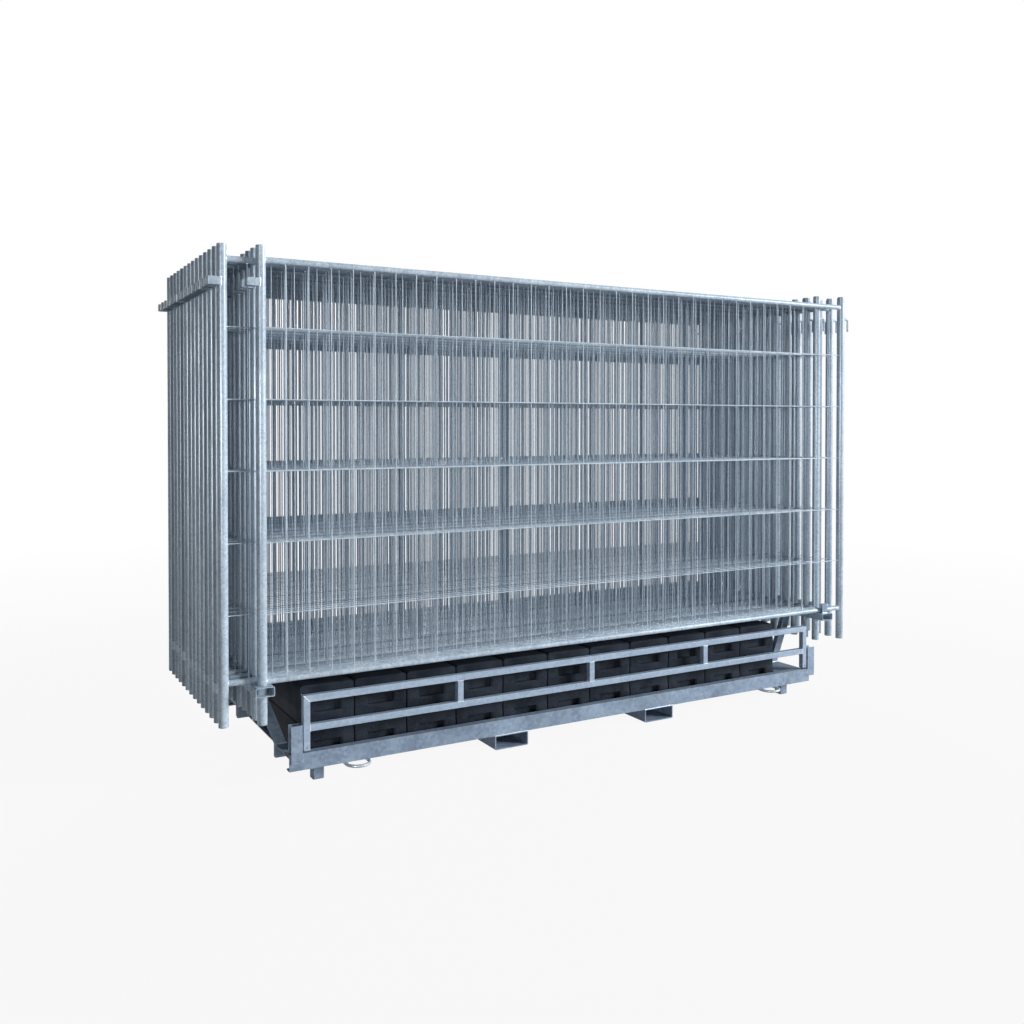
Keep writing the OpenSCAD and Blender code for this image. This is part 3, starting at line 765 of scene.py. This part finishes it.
class RACK_OT_base_welds(bpy.types.Operator):
    """Weld beads that hold the rack's pockets, legs, rings, guides, platforms, struts and stops"""

    bl_idname = "rack.base_welds"
    bl_label = "Rack weld beads"

    def execute(self, context):
        sizes, weld = settings().rack, settings().weld
        front = self.pocket_lines() + self.leg_and_ring_lines(sizes) + self.guide_lines(sizes)
        front += self.corner_lines(sizes)
        paths = [(turned(path, way), closed) for path, closed in front for way in (FRONT, REAR)]
        values = {"Radius": weld.rack_bead, "Ripple": weld.ripple * RACK_RIPPLE,
                  "Ripple Depth": weld.ripple_depth, "Seed": weld.seed,
                  "Material": bpy.data.materials["galvanised_sheet"]}
        grow("rack_welds", bpy.data.node_groups["weld_beads"], values, path_mesh("rack_welds", paths),
             "rack")
        return {"FINISHED"}

    def pocket_lines(self):
        """Pocket mouths under the sill."""
        sill, sill_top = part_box("front_sill")
        lines = []
        for name in ("left_fork_pocket", "right_fork_pocket"):
            lo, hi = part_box(name)
            lines.append(open_line((lo.x, sill.y, hi.z), (hi.x, sill.y, hi.z)))
            lines += [open_line((x, sill.y, hi.z), (x, sill_top.y, hi.z)) for x in (lo.x, hi.x)]
        return lines

    def leg_and_ring_lines(self, sizes):
        """Legs under the floor, and ring bars under the sill."""
        sill, sill_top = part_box("front_sill")
        legs, legs_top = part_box("legs")
        rings, rings_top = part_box("lashing_rings")
        lines = []
        bar = (sizes.ring_w - sizes.ring_d) / 2
        for side in SIDES:
            leg_x = side * (legs_top.x - sizes.leg_w / 2)
            lines.append((square_loop(leg_x, legs.y + sizes.leg_w / 2, legs_top.z, sizes.leg_w, "Z"), True))
            ring_x = side * (rings_top.x - sizes.ring_w / 2)
            beside = sizes.ring_d * RING_BEAD_OUT
            edges = [ring_x + end * bar + edge * beside for end in SIDES for edge in SIDES]
            z = sill.z - sizes.ring_d * RING_BEAD_DOWN
            lines += [open_line((x, sill.y, z), (x, sill_top.y, z)) for x in edges]
        return lines

    def guide_lines(self, sizes):
        """Guide channels lapped over the sill's face, and their feet on its top."""
        sill, sill_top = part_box("front_sill")
        gate, gate_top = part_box("front_gate")
        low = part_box("gate_guides")[0].z
        lines = []
        for inner, way in ((gate.x - sizes.guide_gap, -1), (gate_top.x + sizes.guide_gap, 1)):
            outer = inner + way * sizes.guide_w
            edge = max(-sill_top.x, min(sill_top.x, outer))
            lines.append(open_line((inner, sill.y, sill_top.z), (inner, sill.y, low), (edge, sill.y, low)))
            web = inner + way * sizes.sheet_t
            lines.append(open_line((web, sill.y, sill_top.z), (web, sill_top.y, sill_top.z)))
        return lines

    def corner_lines(self, sizes):
        """Platforms along the sill, struts on their feet and under the tubes, and stop plates."""
        sill, sill_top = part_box("front_sill")
        struts, struts_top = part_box("struts")
        stops, stops_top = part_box("stop_plates")
        blocks_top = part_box("lower_foot_blocks")[1]
        places, _ = panel_places()
        step = places[1].y - places[0].y
        platform_y = sill.y + sizes.sheet_t
        lean = struts_top.x - sill_top.x
        narrow = (sill.x, sill.x + sizes.platform_w)
        wide = (blocks_top.x + sizes.block_gap, sill_top.x)
        lines = [open_line(*[(x, platform_y, struts.z) for x in ends]) for ends in (narrow, wide)]
        for side, y in ((-1, struts.y), (1, struts.y + step)):
            for z, out in ((struts.z, 0.0), (struts_top.z, lean)):
                outer = side * (sill_top.x + out)
                inner = outer - side * sizes.strut_w
                far = y + sizes.strut_d
                lines.append(open_line((outer, y, z), (inner, y, z), (inner, far, z), (outer, far, z)))
        for y in (stops.y, stops.y + sizes.stop_t):
            lines.append(open_line((stops_top.x - sizes.stop_w, y, stops.z), (stops_top.x, y, stops.z)))
        return lines


class RACK_OT_gate_welds(bpy.types.Operator):
    """Weld beads at the gates' mitres, middle rails and uprights"""

    bl_idname = "rack.gate_welds"
    bl_label = "Gate weld beads"

    def execute(self, context):
        sizes, weld = settings().rack, settings().weld
        lo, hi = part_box("front_gate")
        tube = sizes.gate_tube
        middle_y = (lo.y + hi.y) / 2
        rail_low = lo.z + sizes.gate_mid_rise
        front = []
        for end, way in ((lo.x, 1), (hi.x, -1)):
            inner = end + way * tube
            front.append((square_loop(inner, middle_y, rail_low + tube / 2, tube, "X"), True))
            under = hi.z - tube
            front.append(open_line((end, lo.y, hi.z), (inner, lo.y, under), (inner, hi.y, under),
                                   (end, hi.y, hi.z)))
        pitch = (hi.x - lo.x - tube) / sizes.gate_bays
        for bay in range(1, sizes.gate_bays):
            x = lo.x + tube / 2 + bay * pitch
            for z in (rail_low + tube, hi.z - tube):
                front.append((square_loop(x, middle_y, z, tube, "Z"), True))
        values = {"Radius": weld.gate_bead, "Ripple": weld.ripple, "Ripple Depth": weld.ripple_depth,
                  "Seed": weld.seed, "Material": bpy.data.materials["galvanised_gate"]}
        for body, way in (("front_gate", FRONT), ("rear_gate", REAR)):
            name = body + "_welds"
            paths = [(turned(path, way), closed) for path, closed in front]
            grow(name, bpy.data.node_groups["weld_beads"], values, path_mesh(name, paths), body)
        return {"FINISHED"}


class RACK_OT_foot_blocks(bpy.types.Operator):
    """Moulded foot blocks with hand-holds, pads and worn edges"""

    bl_idname = "rack.foot_blocks"
    bl_label = "Foot blocks"

    def execute(self, context):
        sizes, colour = settings().block, settings().colour
        material = plastic("recycled_plastic", colour.block, colour.block_worn)
        tree = row_tree()
        for layer in ("lower_foot_blocks", "upper_foot_blocks"):
            lo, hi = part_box(layer)
            source = moulded_block(sizes, hi.y - lo.y - 2 * sizes.pad_t, hi.z - lo.z)
            values = {"Count": sizes.count, "Pitch": sizes.width + sizes.gap,
                      "Start": (lo.x, lo.y + sizes.pad_t, lo.z), "Material": material}
            piece = grow("moulded_" + layer, tree, values, source, body_of(layer))
            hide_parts(layer)
            frame["nodes"][layer].data.materials.clear()
            frame["nodes"][layer].data.materials.append(material)
        return {"FINISHED"}


def moulded_block(sizes, length, height):
    """One block from its corner, with both ends detailed and its edges rounded."""
    form = bmesh.new()
    corner = sizes.edge_r
    xs = (0.0, sizes.pad_w, (sizes.width - sizes.grip_w) / 2, (sizes.width + sizes.grip_w) / 2,
          sizes.width - sizes.pad_w, sizes.width)
    zs = (0.0, sizes.grip_rise, sizes.grip_rise + sizes.grip_h, height - corner, height)
    columns = len(xs) - 1
    rows = len(zs) - 1
    grip_row = zs.index(sizes.grip_rise)
    grip_column = columns // 2
    arcs = 5

    def rounded(x, side):
        turns = [math.pi / 2 * step / arcs for step in range(1, arcs)]
        return [(x + side * corner * (1 - math.cos(turn)), height - corner + corner * math.sin(turn))
                for turn in turns]

    def end(y):
        """The cells of one end face, as rings of points."""
        cells = []
        for i, (x0, x1) in enumerate(zip(xs, xs[1:])):
            for k, (z0, z1) in enumerate(zip(zs, zs[1:])):
                ring = [(x0, z0), (x1, z0), (x1, z1), (x0, z1)]
                if k == rows - 1 and i == 0:
                    ring = [(x0, z0), (x1, z0), (x1, z1), (corner, z1)]
                    ring += rounded(0.0, 1)[::-1]
                if k == rows - 1 and i == columns - 1:
                    ring = [(x0, z0), (x1, z0), *rounded(sizes.width, -1)]
                    ring += [(sizes.width - corner, z1), (x0, z1)]
                kind = "face"
                if k == grip_row and i in (0, columns - 1):
                    kind = "pad"
                if k == grip_row and i == grip_column:
                    kind = "grip"
                cells.append((kind, [(x, y, z) for x, z in ring]))
        return cells

    raised = {"pad": [], "grip": []}
    for y, way in ((0.0, -1), (length, 1)):
        for kind, ring in end(y):
            face = form.faces.new([form.verts.new(point) for point in ring])
            if kind != "face":
                raised[kind].append((face, way))
    outline = [(x, 0.0) for x in xs] + [(sizes.width, z) for z in zs[1:-1]]
    outline += rounded(sizes.width, -1)
    outline += [(sizes.width - corner, height)] + [(x, height) for x in xs[-2:0:-1]] + [(corner, height)]
    outline += rounded(0.0, 1)[::-1] + [(0.0, z) for z in zs[-2:0:-1]]
    for (x0, z0), (x1, z1) in zip(outline, outline[1:] + outline[:1]):
        ring = [(x0, 0.0, z0), (x0, length, z0), (x1, length, z1), (x1, 0.0, z1)]
        form.faces.new([form.verts.new(point) for point in ring])
    bmesh.ops.remove_doubles(form, verts=form.verts, dist=SAME_POINT)
    bmesh.ops.recalc_face_normals(form, faces=form.faces)
    for kind, travel in (("pad", sizes.pad_t), ("grip", -sizes.grip_depth)):
        for face, way in raised[kind]:
            made = bmesh.ops.extrude_discrete_faces(form, faces=[face])["faces"]
            bmesh.ops.translate(form, verts=made[0].verts, vec=(0.0, way * travel, 0.0))
    bmesh.ops.remove_doubles(form, verts=form.verts, dist=SAME_POINT)
    bmesh.ops.recalc_face_normals(form, faces=form.faces)
    bmesh.ops.dissolve_limit(form, angle_limit=FLAT_ANGLE, verts=form.verts, edges=form.edges)
    return worn_mesh(form, sizes.bevel)


def worn_mesh(form, width):
    """Rounds the sharp edges and marks the rounding as worn."""
    sharp = [edge for edge in form.edges if edge.is_manifold and edge.calc_face_angle() > SHARP_ANGLE]
    made = bmesh.ops.bevel(form, geom=sharp, offset=width, segments=2, profile=0.6, affect="EDGES",
                           clamp_overlap=True)
    rounded = {vert.index for face in made["faces"] for vert in face.verts}
    for face in form.faces:
        face.smooth = True
    mesh = bpy.data.meshes.new("moulded_block")
    form.to_mesh(mesh)
    form.free()
    marks = mesh.attributes.new("worn_edge", "FLOAT", "POINT")
    for index in rounded:
        marks.data[index].value = 1.0
    return mesh


class RACK_OT_stage(bpy.types.Operator):
    """Floor, light and camera"""

    bl_idname = "rack.stage"
    bl_label = "Stage"

    def execute(self, context):
        stage = settings().stage
        scene = context.scene
        scene.view_settings.view_transform = "Standard"
        self.lay_floor(scene, stage)
        self.light_world(scene, stage)
        for name, lamp in LAMPS.items():
            self.hang_light(scene, name, lamp, getattr(stage, name))
        self.place_camera(scene, stage)
        return {"FINISHED"}

    def lay_floor(self, scene, stage):
        form = bmesh.new()
        bmesh.ops.create_circle(form, cap_ends=True, segments=64, radius=stage.floor_radius)
        mesh = bpy.data.meshes.new("floor")
        form.to_mesh(mesh)
        form.free()
        floor = bpy.data.objects.new("floor", mesh)
        scene.collection.objects.link(floor)
        material, graph, shader = new_material("pale_floor")
        graph.feed(shader.inputs["Base Color"], solid(stage.floor))
        graph.feed(shader.inputs["Roughness"], 0.9)
        seen = self.background_ray(graph)
        coords = graph.add("ShaderNodeTexCoord", take="Object")
        away = graph.add("ShaderNodeVectorMath", {"operation": "LENGTH"}, {0: coords}, take="Value")
        far = graph.ramp(away * (1.0 / FLOOR_REACH), FLOOR_NEAR, FLOOR_FAR)
        clear = far * (1.0 - FLOOR_WHITE) + FLOOR_WHITE
        white = graph.add("ShaderNodeEmission", None, {"Color": (1.0, 1.0, 1.0, 1.0)})
        both = graph.add("ShaderNodeMixShader", None, {0: seen * clear, 2: white})
        graph.tree.links.new(shader.outputs[0], both.socket.node.inputs[1])
        graph.feed(graph.tree.nodes["Material Output"].inputs["Surface"], both)
        mesh.materials.append(material)

    def background_ray(self, graph):
        """One where the camera, a reflection or clear glass looks at the background."""
        camera = graph.add("ShaderNodeLightPath", take="Is Camera Ray")
        rays = camera.socket.node.outputs
        glossy = Wire(graph, rays["Is Glossy Ray"])
        clear = Wire(graph, rays["Is Transmission Ray"])
        return graph.math("MAXIMUM", camera, graph.math("MAXIMUM", glossy, clear))

    def light_world(self, scene, stage):
        world = bpy.data.worlds.new("studio")
        world.use_nodes = True
        scene.world = world
        graph = Graph(world.node_tree)
        background = world.node_tree.nodes["Background"]
        background.inputs["Color"].default_value = (1.0, 1.0, 1.0, 1.0)
        seen = self.background_ray(graph)
        graph.feed(background.inputs["Strength"], seen * (1.0 - stage.ambient) + stage.ambient)

    def hang_light(self, scene, name, lamp, power):
        """An area light; only reflections show the glint."""
        data = bpy.data.lights.new(name + "_light", "AREA")
        data.energy = power
        data.size = lamp.size
        light = bpy.data.objects.new(name + "_light", data)
        light.location = lamp.place
        light.rotation_euler = (LAMP_AIM - light.location).to_track_quat("-Z", "Y").to_euler()
        light.visible_diffuse = name != "glint"
        scene.collection.objects.link(light)

    def place_camera(self, scene, stage):
        data = bpy.data.cameras.new("camera")
        data.sensor_width = SENSOR_WIDTH
        data.lens = stage.lens
        data.shift_y = stage.shift
        data.clip_end = CLIP_END
        camera = bpy.data.objects.new("camera", data)
        camera.location = stage.camera
        camera.rotation_euler = (math.pi / 2 + stage.pitch, 0.0, -stage.yaw)
        scene.collection.objects.link(camera)
        scene.camera = camera


class RACK_PT_tools(bpy.types.Panel):
    """The rack's steps, in order"""

    bl_idname = "RACK_PT_tools"
    bl_label = "Loaded fence panel rack"
    bl_space_type = "VIEW_3D"
    bl_region_type = "UI"
    bl_category = "Rack"

    def draw(self, context):
        for step in STEPS:
            self.layout.operator(step.bl_idname)


STEPS = (
    RACK_OT_steel,
    RACK_OT_panel_welds,
    RACK_OT_mesh_welds,
    RACK_OT_base_welds,
    RACK_OT_gate_welds,
    RACK_OT_foot_blocks,
    RACK_OT_stage,
)
GROUPS = (PanelSizes, WeldSizes, BlockSizes, RackSizes, FinishColours, StageSettings, RackSettings)


def register():
    for group in (*GROUPS, *STEPS, RACK_PT_tools):
        bpy.utils.register_class(group)
    bpy.types.Scene.loaded_rack = PointerProperty(type=RackSettings)


def unregister():
    del bpy.types.Scene.loaded_rack
    for group in reversed((*GROUPS, *STEPS, RACK_PT_tools)):
        bpy.utils.unregister_class(group)


def main():
    register()
    bpy.ops.rack.steel()
    bpy.ops.rack.panel_welds()
    bpy.ops.rack.mesh_welds()
    bpy.ops.rack.base_welds()
    bpy.ops.rack.gate_welds()
    bpy.ops.rack.foot_blocks()
    bpy.ops.rack.stage()


if __name__ == "__main__":
    main()
